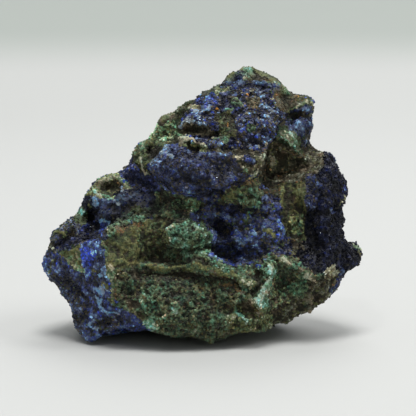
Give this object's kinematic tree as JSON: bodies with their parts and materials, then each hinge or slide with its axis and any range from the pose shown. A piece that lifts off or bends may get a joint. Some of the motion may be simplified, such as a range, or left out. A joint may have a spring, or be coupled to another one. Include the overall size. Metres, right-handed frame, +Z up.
{
  "type": "azurite mineral specimen",
  "caption": "Rough hand specimen of azurite with green malachite on brown limonite, standing on its own uneven foot.",
  "frame": {"origin": "middle of the stone's bounding box at the height of its foot, where it stands", "axes": "+X to the right along the stone's longest side, +Y away from the display side, +Z up"},
  "size_m": [0.0806, 0.048, 0.0666],
  "materials": {
    "azurite": "dark blue azurite druse with small glossy crystals, mossy green malachite crusts and earthy brown and olive limonite"
  },
  "bodies": {
    "root": {"azurite_rock": "azurite"}
  },
  "joints": []
}
